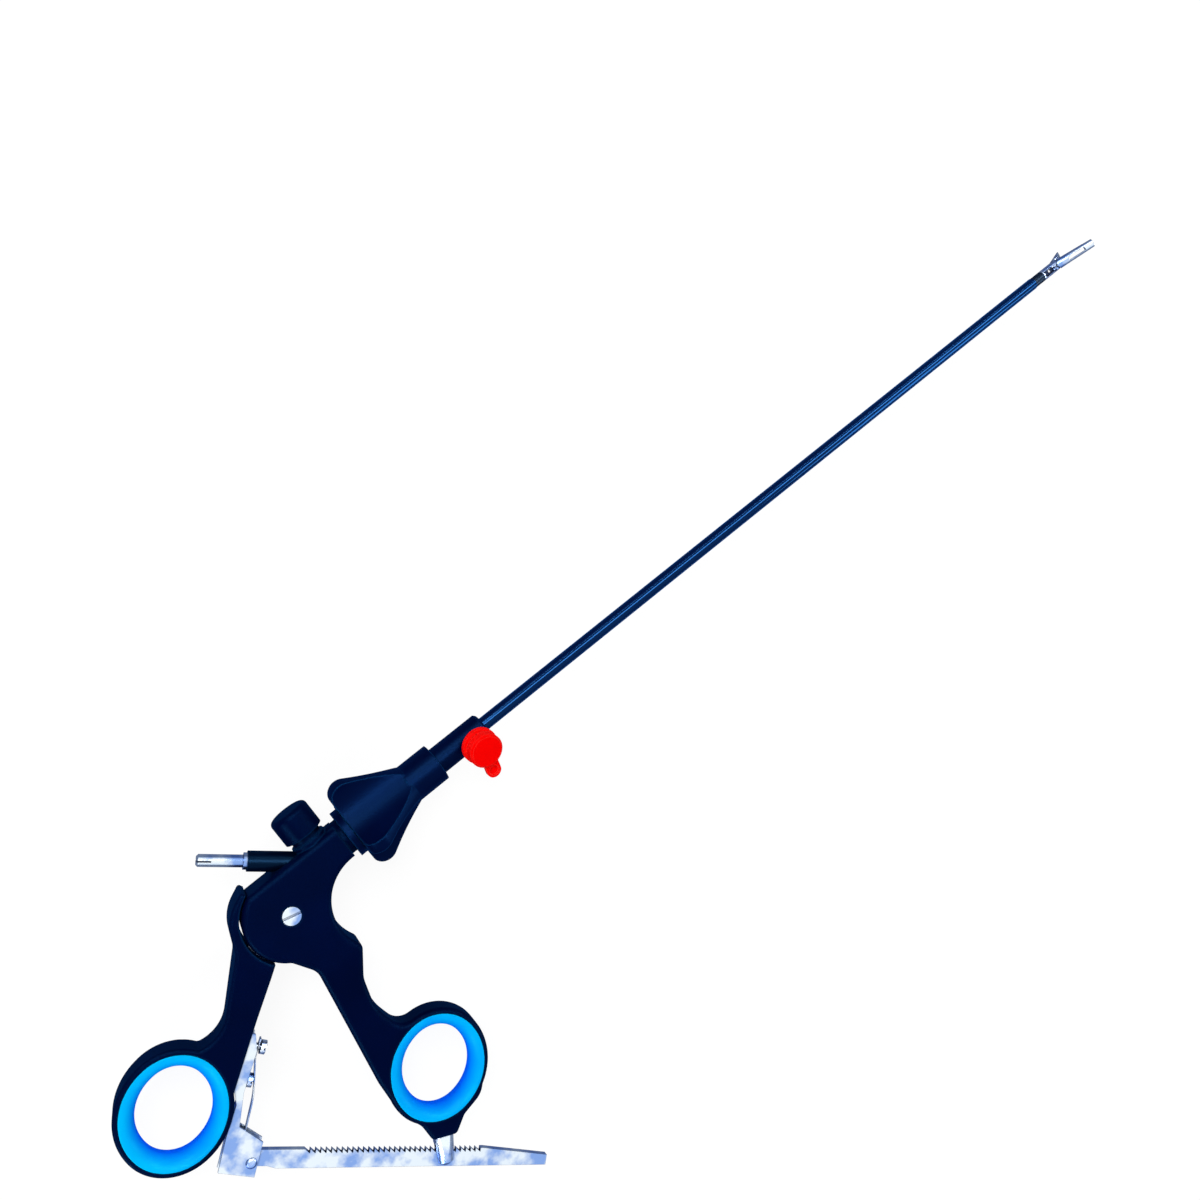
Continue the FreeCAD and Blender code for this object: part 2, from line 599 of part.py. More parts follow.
# Front handle: head with a slot for the lever, neck, leg, finger ring and the boss for the catch
def make_front_handle():
    rest_x = neck_end - rest_setback - pivot.x
    boss_end = V(*front_ring_place, 0) + catch_axis * catch_boss_end
    across = V(-catch_axis.y, catch_axis.x, 0) * catch_boss_half
    head_first = 180 - math.degrees(math.asin(head_rise / head_r))
    head_a, head_c = polar(V(0, 0, 0), head_r, head_first), polar(V(0, 0, 0), head_r, head_last)
    boss_left, boss_right = boss_end - across, boss_end + across
    limb = outline((rest_x, head_rise), (head_a.x, head_a.y), (0, 0), (head_c.x, head_c.y),
                   (-4.6, -20.2, 6), (-12.0, -64.0, 20), (-12.9, -77.0, 12), (-10.2, -86.0, 5),
                   (boss_left.x, boss_left.y), (boss_right.x, boss_right.y),
                   (2.6, -93.2, 3), (10.8, -91.9, 8), (18.8, -84.0), (5.6, -60.0),
                   (1.9, -43.0, 18), (4.9, -32.3, 10), (11.2, -22.9, 3),
                   (0.5, 1.9, finger_rest_r), (rest_x, 1.9), origin=pivot)
    body = plate(limb, -head_half, head_half)
    head = Part.makeCylinder(head_r, 2 * head_half, V(0, 0, -head_half), Z, head_last - head_first)
    head = placed(head, pivot, head_first)
    body = body.fuse([head, oval_plate(front_ring, 0, -head_half, head_half)]).removeSplitter()
    corners = [e for e in corner_edges(body) if e.BoundBox.XMax < neck_end - rest_setback - 1e-3]
    corners.sort(key=lambda edge: (edge.CenterOfMass - front_ring - Y * ring_b).Length)
    body = body.makeFillet(corner_round, corners[1:])
    root = min(corner_edges(body), key=lambda edge: (edge.CenterOfMass - front_ring - Y * ring_b).Length)
    body = body.makeFillet(root_round, [root])
    side = side_profile(140, 20, 46)
    side.rotate(V(0, 0, 0), Z, -90)
    side.translate(V(front_ring.x, pivot.y, 0))
    body = body.common(side)
    rims = [e for e in rim_edges(body) if e.BoundBox.XMin < neck_end - rest_setback - 1e-3]
    body = body.makeFillet(edge_round, rims)
    body = body.fuse(rod(handle_neck_r, neck_end - handle_neck_length, neck_end))
    shoulder = button_bottom - button_travel - gap_move
    guide = Part.makeCylinder(guide_r + guide_shoulder, shoulder, V(button_x, 0, 0), Y)
    guide = guide.fuse(Part.makeCylinder(guide_r, guide_top, V(button_x, 0, 0), Y))
    body = body.fuse(guide)

    pocket = Part.makeCylinder(slot_r, 2 * slot_half, pivot - Z * slot_half, Z)
    swing = (slot_from, (slot_from + slot_to) / 2, slot_to)
    far = [polar(V(0, 0, 0), 2 * head_r, angle) for angle in swing]
    gate = outline((0, 0), *[(point.x, point.y) for point in far], origin=pivot)
    axle = Part.makeCylinder(axle_r + gap_fit, 40, pivot - Z * 20, Z)
    head_base = head_half - head_recess
    heads = [Part.makeCylinder(screw_head_r + gap_fit, 10, pivot + way * head_base, way) for way in (Z, -Z)]
    bearing = rod(bearing_r, neck_end - bearing_length, neck_end + 1)
    rod_way = rod(pull_rod_r + gap_move, pivot.x, neck_end)
    rear_bay = rod(spigot_r + gap_move, hub_rear, neck_end)
    ring_seat = rod(spigot_r, hub_rear - contact_length, hub_rear)
    latch_bay = Part.makeBox(latch_thickness + 0.8, guide_floor + 0.1 - latch_bottom + button_travel + 0.2,
                             2 * (latch_half + gap_move),
                             V(button_x - latch_thickness / 2 - 0.4, latch_bottom - button_travel - 0.2,
                               -latch_half - gap_move))
    bore = Part.makeCylinder(guide_bore_r, 20, V(button_x, guide_floor, 0), Y)
    hf_bore = Part.makeCylinder(hf_sleeve_r, hf_sleeve_length, hf_collar, -hf_axis)
    stud_foot = front_ring + catch_axis * (catch_boss_end - 6)
    stud = Part.makeCylinder(catch_r - catch_shank_step, 30, stud_foot, catch_axis)
    cuts = [pocket, plate(gate, -slot_half, slot_half), axle, bearing, rod_way, rear_bay, ring_seat,
            latch_bay, bore, hf_bore, stud, ring_hole(front_ring)] + heads
    nodes["front_handle"] = body.cut(cuts)
    nodes["front_ring_insert"] = ring_insert(front_ring)


# Catch: a steel stud with a fork that the rack runs through and a small tooth at the fork's root
def make_catch():
    shank = Part.makeCylinder(catch_r - catch_shank_step, 6, V(-6, 0, 0), X)
    stud = Part.makeCone(catch_r, catch_tip_r, catch_length, V(0, 0, 0), X)
    tip_edge = [e for e in stud.Edges if e.BoundBox.XMin > catch_length - 1e-3]
    stud = stud.makeChamfer(catch_tip_r * 0.4, tip_edge)
    flat = Part.makeBox(catch_length + 1, 4 * catch_r, 2, V(-0.5, -2 * catch_r, catch_r - 0.5))
    stud = stud.cut(flat).fuse(shank)
    bite = rack_bite_distance() - catch_boss_end
    slot_z = rack_half + fork_play
    lean = rack_angle + 90 - (catch_angle - 180)
    fork = Part.makeBox(2 * catch_length, 6 * catch_r, 2 * slot_z, V(-1.3, -3 * catch_r, -slot_z))
    fork.rotate(V(0, 0, 0), Z, lean - squeeze / 4)
    fork.translate(V(bite, 0, 0))
    stud = stud.cut(fork)
    tooth = outline((-1.8, -1.2), (-1.8, 1.2), (0, 0.1), (0, -0.1))
    tooth = plate(tooth, -slot_z, slot_z)
    tooth.rotate(V(0, 0, 0), Z, lean)
    tooth.translate(V(bite, 0, 0))
    stud = stud.fuse(tooth.common(Part.makeCylinder(catch_r, catch_length, V(0, 0, 0), X)))
    seat = front_ring + catch_axis * catch_boss_end
    nodes["catch_post"] = placed(stud.removeSplitter(), seat, catch_angle)


def rack_bite_distance():
    """How far from the front ring's centre, along the catch, its tooth dips under the rack's teeth."""
    up = polar(V(0, 0, 0), 1, rack_angle + 90)
    from_rack = front_ring - rack_rivet
    return (rack_top - catch_bite - from_rack.dot(up)) / catch_axis.dot(up)


# Pivot: a slotted screw from the front in a sleeve nut from the back, and a bush in the tongue
def make_pivot():
    head_base = head_half - head_recess
    kerf_x, kerf_y = -2 * screw_head_r, -screw_slot / 2
    head = Part.makeCylinder(screw_head_r, screw_head_height, V(0, 0, head_base), Z)
    shank = Part.makeCylinder(screw_r, head_base + slot_half, V(0, 0, -slot_half), Z)
    kerf = Part.makeBox(4 * screw_head_r, screw_slot, 2, V(kerf_x, kerf_y, head_base + 0.75))
    kerf.rotate(V(0, 0, 0), Z, -16)
    screw = head.fuse(shank).cut(kerf)
    nut_head = Part.makeCylinder(screw_head_r, screw_head_height, V(0, 0, -head_base), -Z)
    barrel = Part.makeCylinder(axle_r, 2 * head_base, V(0, 0, -head_base), Z)
    nut_kerf = Part.makeBox(4 * screw_head_r, screw_slot, 2, V(kerf_x, kerf_y, -head_base - 2.75))
    nut = barrel.fuse(nut_head).cut(nut_kerf)
    nut = nut.cut(Part.makeCylinder(screw_r, 40, V(0, 0, -slot_half), Z))
    half = slot_half - 0.05
    bush = Part.makeCylinder(bush_r, 2 * half, V(0, 0, -half), Z)
    bush = bush.cut(Part.makeCylinder(axle_r + gap_run, 20, V(0, 0, -10), Z))
    for name, shape in (("pivot_screw", screw), ("pivot_nut", nut), ("pivot_bush", bush)):
        shape.translate(pivot)
        nodes[name] = shape


# Rear handle: crescent behind the head, arm and finger ring, with a steel tongue moulded in
def make_rear_handle():
    inner = head_r + crescent_gap
    along = polar(V(0, 0, 0), 1, lever_edge_angle)
    edge = V(*lever_edge_place, 0)
    near, far = edge - along * 6, edge + along * 41
    tip = polar(V(0, 0, 0), inner + crescent_tip_wall, crescent_tip)
    tip_root = polar(V(0, 0, 0), inner - 2, crescent_tip)
    arm = outline((near.x, near.y), (far.x, far.y), (-52.4, -30.0), (-52.0, -11.0),
                  (-41.2, -20.4, 12), (-20.0, 1.3, 6), (-15.6, 12.0, 14),
                  (tip.x, tip.y, 0.8), (tip_root.x, tip_root.y), origin=pivot)
    body = plate(arm, -head_half, head_half)
    body = body.fuse(oval_plate(rear_ring, 0, -head_half, head_half)).removeSplitter()
    roots = [e for e in corner_edges(body) if e.CenterOfMass.x < pivot.x - 2 * head_r]
    body = body.makeFillet(corner_round, roots)
    gap = Part.makeCylinder(inner, 2 * head_half, pivot - Z * head_half, Z)
    body = body.cut(gap)
    side = side_profile(140, 17, 36)
    side.rotate(V(0, 0, 0), Z, math.degrees(math.atan2(rear_ring_place[1], rear_ring_place[0])))
    side.translate(pivot)
    body = body.common(side)
    touch = Part.makeCylinder(inner + 0.01, 40, pivot - Z * 20, Z)
    body = body.makeFillet(lever_round, [e for e in rim_edges(body) if touch.distToShape(e)[0] > 1e-3
                                          or e.BoundBox.XMin < rear_ring.x + ring_a * 2])
    tongue = make_tongue()
    body = body.cut([tongue, ring_hole(rear_ring)])
    nodes["rear_handle"] = body
    bore = Part.makeCylinder(bush_r, 40, pivot - Z * 20, Z)
    nodes["lever_tongue"] = tongue.cut(bore)
    nodes["rear_ring_insert"] = ring_insert(rear_ring)


def make_tongue():
    """The steel plate in the head's slot: hub, fork for the ball, and a tail held in the lever."""
    hub = Part.makeCylinder(tongue_r, 2 * tongue_half, V(0, 0, -tongue_half), Z)
    fork = Part.makeBox(2 * fork_half, fork_top, 2 * tongue_half, V(-fork_half, 0, -tongue_half))
    ball_way = Part.makeBox(2 * fork_slot_half, fork_top, 4 * tongue_half,
                            V(-fork_slot_half, fork_slot_floor, -2 * tongue_half))
    rod_half = pull_rod_r + gap_move
    rod_way = Part.makeBox(2 * fork_top, fork_top, 2 * rod_half, V(0, fork_slot_floor, -rod_half))
    fork = fork.fuse(hub).cut([ball_way, rod_way])
    fork.rotate(V(0, 0, 0), Z, -squeeze / 2)
    tail = outline((0, 5.0), (-11.4, 1.9), (-17.5, -0.5), (-26.5, -11.0),
                   (-28.5, -17.5), (-12.5, -8.0), (0, -6.0))
    tail = plate(tail, -tongue_half, tongue_half)
    tongue = fork.fuse(tail).removeSplitter()
    tongue.translate(pivot)
    return tongue


# Ratchet: a folded bracket on the lever, a toothed rack on a rivet and a leaf spring
def make_ratchet():
    rivet = rack_rivet - lever_edge
    rivet = FreeCAD.Rotation(Z, -lever_edge_angle).multVec(rivet)
    inside = rack_half + gap_move
    outside = inside + sheet
    roof_end_y = rivet.y + roof_above_rivet
    flange = outline((bracket_start, 0), (bracket_start, 1.4), (bracket_start + 5, 3.3),
                     (bracket_start + 18, 3.3), roof_start, (roof_end_x, roof_end_y),
                     (bracket_end, rivet.y + 2.2), (bracket_end, 3.0), (54.0, 2.2), (44.0, 2.2),
                     (web_end, 0))
    bracket = plate(flange, -outside, outside).cut(Part.makeBox(80, 40, 2 * inside, V(0, -1, -inside)))
    web = Part.makeBox(web_end - bracket_start, sheet, 2 * outside, V(bracket_start, 0, -outside))
    roof = Part.makeBox(8.5, sheet, 2 * outside, V(0, 0, -outside))
    roof_rise, roof_run = roof_end_y - roof_start[1], roof_end_x - roof_start[0]
    roof.rotate(V(0, 0, 0), Z, math.degrees(math.atan2(roof_rise, roof_run)))
    roof.translate(V(*roof_start, 0))
    bracket = bracket.fuse([web, roof.common(plate(flange, -outside, outside))]).removeSplitter()
    pin_hole = Part.makeCylinder(rack_pin_r + gap_fit, 20, V(rivet.x, rivet.y, -10), Z)
    bracket = bracket.cut(pin_hole)
    screws = {}
    for name, x, top in zip(("bracket_screw_upper", "bracket_screw_lower"), screw_at, screw_tops):
        hole = Part.makeCylinder(small_screw_r, 20, V(x, -8, 0), Y)
        bracket = bracket.cut(hole)
        head_foot = top - small_head_height
        head = Part.makeCylinder(small_head_r, small_head_height, V(x, head_foot, 0), Y)
        kerf = Part.makeBox(small_kerf, 1, 10, V(x - small_kerf / 2, top - small_kerf, -5))
        shank_foot = V(x, -small_screw_depth, 0)
        shank = Part.makeCylinder(small_screw_r, head_foot + small_screw_depth, shank_foot, Y)
        screws[name] = shank.fuse(head).cut(kerf)
    pin = Part.makeCylinder(rack_pin_r, 2 * outside, V(rivet.x, rivet.y, -outside), Z)
    for z, way in ((outside, Z), (-outside, -Z)):
        pin = pin.fuse(Part.makeCone(rack_pin_r + 0.6, rack_pin_r, 0.5, V(rivet.x, rivet.y, z), way))
    place = FreeCAD.Placement(lever_edge, FreeCAD.Rotation(Z, lever_edge_angle))
    holes = []
    for x in screw_at:
        hole_foot = V(x, -small_screw_depth, 0)
        hole = Part.makeCylinder(small_screw_r + gap_fit, small_screw_depth + 1, hole_foot, Y)
        hole.Placement = place
        holes.append(hole)
    nodes["rear_handle"] = nodes["rear_handle"].cut(holes)
    spring = make_leaf(rivet)
    screws.update({"ratchet_bracket": bracket, "rack_rivet": pin, "ratchet_spring": spring})
    for name, shape in screws.items():
        shape.Placement = place
        nodes[name] = shape
    nodes["ratchet_rack"] = make_rack()


def make_leaf(rivet):
    """The leaf spring: clamped under the upper screw head, bowed out and led to the rack's heel."""
    end_x, end_y = rivet.x - 7.5, rivet.y - 4.7
    start = bracket_start + 1.4
    foot_top, bow_top, end_top = spring_foot + spring_sheet, spring_bow + spring_sheet, end_y + spring_sheet
    strip = outline((start, spring_foot), (29.0, spring_foot, 8), (41.0, spring_bow, 30), (end_x, end_y),
                    (end_x, end_top), (41.0, bow_top, 30), (29.0, foot_top, 8), (start, foot_top))
    strip = plate(strip, -spring_half, spring_half)
    hole = Part.makeCylinder(small_screw_r + gap_run, 20, V(screw_at[0], -8, 0), Y)
    low = Part.makeCylinder(small_head_r + gap_run, screw_tops[1] + gap_run, V(screw_at[1], 0, 0), Y)
    return strip.cut([hole, low])


def make_rack():
    """The rack in its own frame: +X along it from the rivet, teeth on +Y."""
    bite = front_ring + catch_axis * rack_bite_distance() - rack_rivet
    bite_x = bite.dot(polar(V(0, 0, 0), 1, rack_angle))
    tooth_first = bite_x + catch_seat - catch_tooth * tooth_pitch
    teeth = []
    for n in range(tooth_count):
        x = tooth_first + n * tooth_pitch
        teeth += [(x + tooth_pitch, rack_top - tooth_depth), (x + tooth_pitch, rack_top)]
    shank = rack_bottom + 0.8
    profile = [(-rack_heel, rack_top), (tooth_first, rack_top), *teeth, (teeth[-1][0] + 1.0, rack_top),
               (rack_length, rack_tip_top), (rack_length, rack_bottom), (8.0, rack_bottom), (5.0, shank),
               (-2.0, shank), (-rack_heel, 1.4)]
    rack = plate(outline(*profile), -rack_half, rack_half)
    rack = rack.cut(Part.makeCylinder(rack_pin_r + gap_run, 20, V(0, 0, -10), Z))
    return placed(rack, rack_rivet, rack_angle)


# Release button: a domed cap on a stem, a keyhole latch plate on the hub's groove, and its spring
def make_button():
    cap = Part.makeCylinder(button_r, button_top - button_bottom, V(button_x, button_bottom, 0), Y)
    cap = cap.makeFillet(button_dome, [e for e in cap.Edges if e.BoundBox.YMin > button_top - 1e-3])
    ceiling = button_top - button_wall * 2
    cap_foot = V(button_x, button_bottom, 0)
    hollow = Part.makeCylinder(guide_r + gap_move, ceiling - button_bottom, cap_foot, Y)
    plate_top = guide_floor - gap_move
    side = button_x - latch_thickness / 2
    latch = Part.makeBox(latch_thickness, plate_top - latch_bottom, 2 * latch_half,
                         V(side, latch_bottom, -latch_half))
    stem = Part.makeBox(latch_thickness, ceiling + 0.8 - plate_top, 2 * stem_half,
                        V(side, plate_top, -stem_half))
    keyhole = rod(spigot_groove_r + gap_move / 2, -80, -50)
    wide = Part.makeCylinder(spigot_r + gap_run, 30, V(-80, button_travel, 0), X)
    latch = latch.fuse(stem).removeSplitter().cut([keyhole, wide])
    nodes["release_button"] = cap.cut([hollow, latch])
    nodes["latch_plate"] = latch
    nodes["button_spring"] = make_coil(guide_floor + 0.1, ceiling - 0.1)


def make_coil(bottom, top):
    """A coil of square wire, made of half turns that each lean a little and meet end to end."""
    rise = (top - bottom - 2 * coil_wire) / coil_half_turns
    lean = math.degrees(math.atan2(rise / 2, coil_r))
    half_turn_r = math.hypot(coil_r, rise / 2)
    halves = []
    for n in range(coil_half_turns):
        way = 1 if n % 2 == 0 else -1
        wire = Part.makePlane(2 * coil_wire, 2 * coil_wire, V(half_turn_r - coil_wire, 0, coil_wire), -Y)
        half = wire.revolve(V(0, 0, 0), Z, 180)
        half.rotate(V(0, 0, 0), Z, 0 if way > 0 else 180)
        half.rotate(V(0, 0, 0), Y, way * lean)
        half.translate(V(0, 0, coil_wire + rise * (n + 0.5)))
        halves.append(half)
    coil = halves[0].fuse(halves[1:]).removeSplitter()
    coil.rotate(V(0, 0, 0), X, -90)
    coil.translate(V(button_x, bottom, 0))
    return coil


# Connector: the pin for the cable in its moulded sleeve, and the ring that feeds the shaft
def make_connector():
    sleeve = Part.makeCylinder(hf_sleeve_r, hf_sleeve_length, hf_collar, -hf_axis)
    shank = Part.makeCylinder(hf_shank_r, hf_sleeve_length + 3, hf_collar, -hf_axis)
    ring = pipe(spigot_r, pull_rod_r + gap_move, hub_rear - contact_length, hub_rear)
    inner_bay = rod(spigot_r, hub_rear - contact_length, hub_rear)
    rod_way = rod(pull_rod_r + gap_move, pivot.x, neck_end)
    sleeve = sleeve.cut([shank, inner_bay, rod_way])
    collar = Part.makeCylinder(hf_collar_r, hf_collar_length, hf_collar, hf_axis)
    pin = Part.makeCylinder(hf_pin_r, hf_pin_length, hf_collar, hf_axis)
    tip = hf_collar + hf_axis * hf_pin_length
    pin = pin.makeChamfer(hf_pin_tip, [e for e in pin.Edges if (e.CenterOfMass - tip).Length < 0.1])
    kerf = Part.makeBox(9.0, 0.5, 6, V(-4.5, -0.25, -3))
    kerf.Placement = FreeCAD.Placement(tip, FreeCAD.Rotation(Z, hf_angle))
    pin = pin.cut(kerf).fuse([collar, shank])
    nodes["hf_sleeve"] = sleeve
    nodes["hf_pin"] = pin.cut(rod(spigot_r, -90, -50)).Solids[0]
    nodes["contact_ring"] = ring
    nodes["front_handle"] = nodes["front_handle"].cut([shank, collar])


# Bearing: the flange ring at the end of the neck and the steel sleeve that the hub turns in
def make_bearing():
    nodes["neck_flange"] = pipe(flange_r, spigot_r + gap_run, neck_end, knob_rear - gap_move / 2)
    nodes["bearing_sleeve"] = pipe(bearing_r, spigot_r + gap_run, neck_end - bearing_length, neck_end)


make_shaft()
make_clevis()
make_jaws()
make_pull_rod()
make_port()
make_knob()
make_front_handle()
make_catch()
make_pivot()
make_rear_handle()
make_ratchet()
make_button()
make_connector()
make_bearing()

os.makedirs("parts", exist_ok=True)
for name, shape in nodes.items():
    shape.exportStep("parts/" + name + ".step")
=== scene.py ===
import bpy
from mathutils import Matrix, Vector


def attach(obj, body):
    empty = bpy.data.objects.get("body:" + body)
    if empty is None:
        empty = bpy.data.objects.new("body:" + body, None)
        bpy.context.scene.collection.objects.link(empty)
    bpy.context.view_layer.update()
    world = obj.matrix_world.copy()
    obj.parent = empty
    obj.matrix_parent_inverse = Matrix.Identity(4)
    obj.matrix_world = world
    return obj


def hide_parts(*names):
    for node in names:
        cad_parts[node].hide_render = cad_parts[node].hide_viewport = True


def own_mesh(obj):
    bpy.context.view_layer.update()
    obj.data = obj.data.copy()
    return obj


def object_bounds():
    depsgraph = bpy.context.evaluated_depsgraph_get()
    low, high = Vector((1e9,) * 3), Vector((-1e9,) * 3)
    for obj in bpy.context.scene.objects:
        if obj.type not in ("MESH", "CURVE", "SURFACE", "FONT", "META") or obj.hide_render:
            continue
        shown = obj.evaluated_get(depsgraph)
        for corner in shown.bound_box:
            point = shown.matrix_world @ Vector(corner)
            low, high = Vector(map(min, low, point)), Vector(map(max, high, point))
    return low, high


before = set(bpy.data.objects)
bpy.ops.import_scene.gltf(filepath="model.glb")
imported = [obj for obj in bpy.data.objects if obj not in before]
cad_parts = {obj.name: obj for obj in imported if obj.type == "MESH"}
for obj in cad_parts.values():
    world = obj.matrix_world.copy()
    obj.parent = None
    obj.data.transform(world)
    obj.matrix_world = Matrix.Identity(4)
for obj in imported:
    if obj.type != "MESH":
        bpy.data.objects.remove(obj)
solid_box = [list(corner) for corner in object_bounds()]
scene = bpy.context.scene
scene.view_settings.view_transform = "Standard"

# Camera
# It stands above the neck of the instrument and looks down on the handle's plane, leaned
# and rolled so that the shaft runs up to the right. Its place is in metres, the lens in mm.
right = Vector((0.7455, -0.5480, 0.3793))
up = Vector((0.5892, 0.8080, 0.0093))
back = right.cross(up).normalized()
up = back.cross(right).normalized()
right.normalize()
camera_place = (-0.0624, 0.09475, 0.3668)
lens = bpy.data.cameras.new("camera")
lens.lens, lens.sensor_width = 33.0, 36.0
lens.clip_start, lens.clip_end = 0.01, 10.0
camera = bpy.data.objects.new("camera", lens)
camera_turn = Matrix((right, up, back)).transposed().to_4x4()
camera.matrix_world = Matrix.Translation(camera_place) @ camera_turn
scene.collection.objects.link(camera)
scene.camera = camera


# Table and light
# A white table top that the instrument lies on, with soft panels and two strip lamps around it.
# The table is white to the camera, keeps a faint shadow and mirrors as a cool grey in steel.
def new_finish(name):
    """A new material, with its nodes and links."""
    finish = bpy.data.materials.new(name)
    finish.use_nodes = True
    return finish, finish.node_tree.nodes, finish.node_tree.links


def shader_mix(nodes, links, share, first, second):
    """Two shaders mixed by a share."""
    mix = nodes.new("ShaderNodeMixShader")
    for source, socket in zip((share, first, second), mix.inputs):
        links.new(source, socket)
    return mix.outputs[0]


def colour_ramp(nodes, links, source, stops):
    """Colours along a value, from stops of a place and a colour, lowest first."""
    ramp = nodes.new("ShaderNodeValToRGB")
    elements = ramp.color_ramp.elements
    for index, (place, tone) in enumerate((stops[0], stops[-1])):
        elements[index].position, elements[index].color = place, (*tone, 1)
    for place, tone in stops[1:-1]:
        elements.new(place).color = (*tone, 1)
    links.new(source, ramp.inputs["Fac"])
    return ramp.outputs["Color"]


table_reach, table_top = 3.0, solid_box[0][2]
table_corners = [(x * table_reach, y * table_reach, table_top)
                 for x, y in ((-1, -1), (1, -1), (1, 1), (-1, 1))]
table_mesh = bpy.data.meshes.new("table")
table_mesh.from_pydata(table_corners, [], [(0, 1, 2, 3)])
table = bpy.data.objects.new("table", table_mesh)
scene.collection.objects.link(table)

# The camera sees so much of the table as plain white, and the rest with its shadow.
plain_white = 0.88
paper, paper_nodes, paper_links = new_finish("white_table")
paper_nodes.clear()
matt = paper_nodes.new("ShaderNodeBsdfDiffuse")
matt.inputs["Color"].default_value = (0.9, 0.9, 0.9, 1)
bright = paper_nodes.new("ShaderNodeEmission")
bright.inputs["Strength"].default_value = 1.04
mirrored = paper_nodes.new("ShaderNodeEmission")
mirrored.inputs["Color"].default_value = (0.16, 0.20, 0.30, 1)
paper_ray = paper_nodes.new("ShaderNodeLightPath")
white_share = paper_nodes.new("ShaderNodeMath")
white_share.operation = "MULTIPLY"
white_share.inputs[1].default_value = plain_white
paper_links.new(paper_ray.outputs["Is Camera Ray"], white_share.inputs[0])
direct = shader_mix(paper_nodes, paper_links, white_share.outputs[0],
                    matt.outputs[0], bright.outputs[0])
table_top_look = shader_mix(paper_nodes, paper_links, paper_ray.outputs["Is Glossy Ray"],
                            direct, mirrored.outputs[0])
paper_out = paper_nodes.new("ShaderNodeOutputMaterial")
paper_links.new(table_top_look, paper_out.inputs["Surface"])
table_mesh.materials.append(paper)

# The room gives an even light, is white behind the object, and mirrors in steel
# as dark blue low down and white overhead.
sky = bpy.data.worlds.new("studio")
scene.world = sky
sky.use_nodes = True
sky_nodes, sky_links = sky.node_tree.nodes, sky.node_tree.links
room = sky_nodes["Background"]
room.inputs["Color"].default_value = (1, 1, 1, 1)
room.inputs["Strength"].default_value = 0.42
backdrop = sky_nodes.new("ShaderNodeBackground")
backdrop.inputs["Color"].default_value = (1, 1, 1, 1)
seen_in_metal = sky_nodes.new("ShaderNodeBackground")
way = sky_nodes.new("ShaderNodeTexCoord")
way_parts = sky_nodes.new("ShaderNodeSeparateXYZ")
sky_links.new(way.outputs["Generated"], way_parts.inputs[0])
tone_by_height = colour_ramp(sky_nodes, sky_links, way_parts.outputs["Z"], (
    (0.0, (0.03, 0.05, 0.12)), (0.3, (0.20, 0.27, 0.42)), (0.55, (0.62, 0.70, 0.84)),
    (0.75, (0.92, 0.95, 1.0)), (1.0, (1.0, 1.0, 1.0))))
sky_links.new(tone_by_height, seen_in_metal.inputs["Color"])
sky_ray = sky_nodes.new("ShaderNodeLightPath")
lighting = shader_mix(sky_nodes, sky_links, sky_ray.outputs["Is Glossy Ray"],
                      room.outputs[0], seen_in_metal.outputs[0])
surroundings = shader_mix(sky_nodes, sky_links, sky_ray.outputs["Is Camera Ray"],
                          lighting, backdrop.outputs[0])
sky_links.new(surroundings, sky_nodes["World Output"].inputs["Surface"])


def soft_panel(name, place, aim, size, power):
    """A square panel light that looks at a point."""
    panel = bpy.data.lights.new(name, "AREA")
    panel.shape, panel.size, panel.energy = "SQUARE", size, power
    holder = bpy.data.objects.new(name, panel)
    holder.location = place
    holder.rotation_euler = (Vector(aim) - Vector(place)).to_track_quat("-Z", "Y").to_euler()
    scene.collection.objects.link(holder)


def strip_lamp(name, place, aim, length, width, power):
    """A long narrow lamp along the shaft that lights only what mirrors it, as a line of light."""
    lamp = bpy.data.lights.new(name, "AREA")
    lamp.shape, lamp.size, lamp.size_y, lamp.energy = "RECTANGLE", length, width, power
    holder = bpy.data.objects.new(name, lamp)
    holder.location = place
    holder.visible_diffuse = False
    shaft_way = Vector((1, 0, 0))
    down = (Vector(aim) - Vector(place)).normalized()
    side = down.cross(shaft_way).normalized()
    holder.rotation_euler = Matrix((side.cross(down), side, -down)).transposed().to_euler()
    scene.collection.objects.link(holder)


soft_panel("panel_over", place=(-0.05, 0.6, 0.9), aim=(0.0, 0.0, 0.0), size=0.5, power=7.0)
soft_panel("panel_left", place=(-0.9, -0.3, 0.5), aim=(-0.05, 0.0, 0.0), size=0.35, power=3.5)
soft_panel("panel_right", place=(0.8, -0.6, 0.5), aim=(0.0, -0.03, 0.0), size=0.35, power=3.0)
shaft_line = (0.6, 0.0, 0.0)
strip_lamp("strip_above", place=(0.6, 0.12, 0.89), aim=shaft_line,
           length=2.0, width=0.18, power=17.0)
strip_lamp("strip_beside", place=(0.6, 0.60, 0.67), aim=shaft_line,
           length=2.0, width=0.14, power=26.0)


# Handle halves
# Injection-moulded glass-filled nylon, dyed a very dark blue. The front half holds the head
# and the rear half is the lever; their faces are finely grained and their edges are rounded.
def colour_mix(nodes, links, share, first, second):
    """Two colours mixed by a share, where each is a plain colour or comes from a node."""
    mix = nodes.new("ShaderNodeMix")
    mix.data_type = "RGBA"
    share_socket, first_socket, second_socket = mix.inputs[0], mix.inputs[6], mix.inputs[7]
    links.new(share, share_socket)
    for colour, socket in ((first, first_socket), (second, second_socket)):
        if isinstance(colour, tuple):
            socket.default_value = (*colour, 1)
        else:
            links.new(colour, socket)
    return mix.outputs[2]


